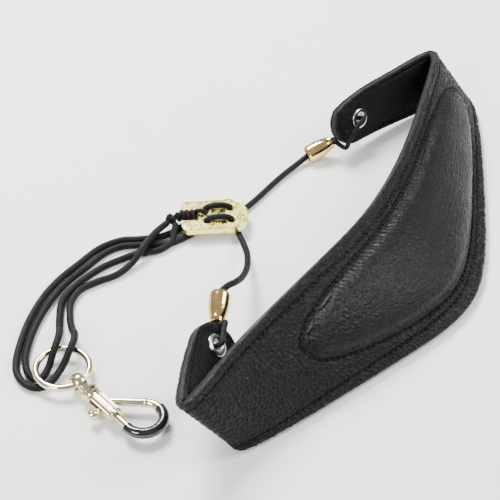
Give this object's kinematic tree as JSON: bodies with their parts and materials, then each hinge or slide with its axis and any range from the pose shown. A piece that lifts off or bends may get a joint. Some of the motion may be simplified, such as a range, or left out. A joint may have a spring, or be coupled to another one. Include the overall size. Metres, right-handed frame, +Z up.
{
  "type": "saxophone neck strap",
  "caption": "Padded leather neck band with eyelets, cords through bell beads, a cast slider plate, and a ring with a swivel snap hook.",
  "frame": {"origin": "middle of the base of the strap as it lies on a table, measured without the cords", "axes": "+Z up from the table, +Y along the longest side of the strap's footprint, +X from the hook to the padded band"},
  "size_m": [0.2352, 0.2704, 0.0413],
  "materials": {
    "leather": "pebbled",
    "lining_leather": "fine grain",
    "foam": "foam",
    "thread": "waxed thread",
    "nickel": "polished",
    "cord": "braided",
    "bead_gold": "polished",
    "plate_gold": "cast",
    "hook_gold": "polished",
    "rubber_dip": "glossy",
    "spring_steel": "satin"
  },
  "bodies": {
    "strap": {"outer_leather": "leather", "foam_core": "foam", "lining": "lining_leather", "pad_cover": "leather", "pad_foam": "foam", "edge_stitching": "thread", "pad_stitching": "thread", "lower_eyelet": "nickel", "upper_eyelet": "nickel", "lower_eyelet_washer": "nickel", "upper_eyelet_washer": "nickel", "lower_cord_loop": "cord", "upper_cord_loop": "cord", "lower_knot": "cord", "upper_knot": "cord", "lower_neck_cord": "cord", "upper_neck_cord": "cord", "hook_cord_outer": "cord", "hook_cord_inner": "cord"},
    "lower_bead": {"lower_bead": "bead_gold"},
    "upper_bead": {"upper_bead": "bead_gold"},
    "slider": {"slider_plate": "plate_gold", "cord_weave_upper": "cord", "cord_weave_lower": "cord", "tie_wrap": "cord", "stopper_knot": "cord"},
    "ring": {"ring": "hook_gold"},
    "swivel_eye": {"swivel_eye": "hook_gold"},
    "hook": {"hook_body": "hook_gold", "hook_dip": "rubber_dip", "trigger_spring": "spring_steel"},
    "trigger": {"trigger_bolt": "hook_gold", "thumb_knob": "hook_gold"}
  },
  "joints": [
    {"name": "lower_bead_spin", "type": "hinge", "parent": "strap", "child": "lower_bead", "pos_m": [-0.029, -0.0692, 0.0228], "axis": [0.0998, 0.9279, 0.3592], "continuous": true},
    {"name": "upper_bead_spin", "type": "hinge", "parent": "strap", "child": "upper_bead", "pos_m": [0.0298, 0.0814, 0.0094], "axis": [-0.8691, -0.3596, -0.3396], "continuous": true},
    {"name": "slider_slide", "type": "slide", "parent": "strap", "child": "slider", "axis": [-0.9962, -0.0872, 0], "range_m": [0, 0.02], "deforming": ["lower_neck_cord", "upper_neck_cord", "hook_cord_outer", "hook_cord_inner"]},
    {"name": "ring_turn", "type": "hinge", "parent": "strap", "child": "ring", "pos_m": [-0.0987, -0.0808, 0.0054], "axis": [0, 0, 1], "range_deg": [-40, 30]},
    {"name": "eye_tilt", "type": "hinge", "parent": "ring", "child": "swivel_eye", "pos_m": [-0.09046, -0.08979, 0.0054], "axis": [-0.7373, -0.6756, 0], "range_deg": [0, 90]},
    {"name": "hook_swivel", "type": "hinge", "parent": "swivel_eye", "child": "hook", "pos_m": [-0.09046, -0.08979, 0.0054], "axis": [0.6756, -0.7373, 0], "continuous": true},
    {"name": "trigger_slide", "type": "slide", "parent": "hook", "child": "trigger", "axis": [-0.6756, 0.7373, 0], "range_m": [0, 0.0055], "stiffness_N_per_m": 300, "springref_m": -0.008, "deforming": ["trigger_spring"]}
  ]
}
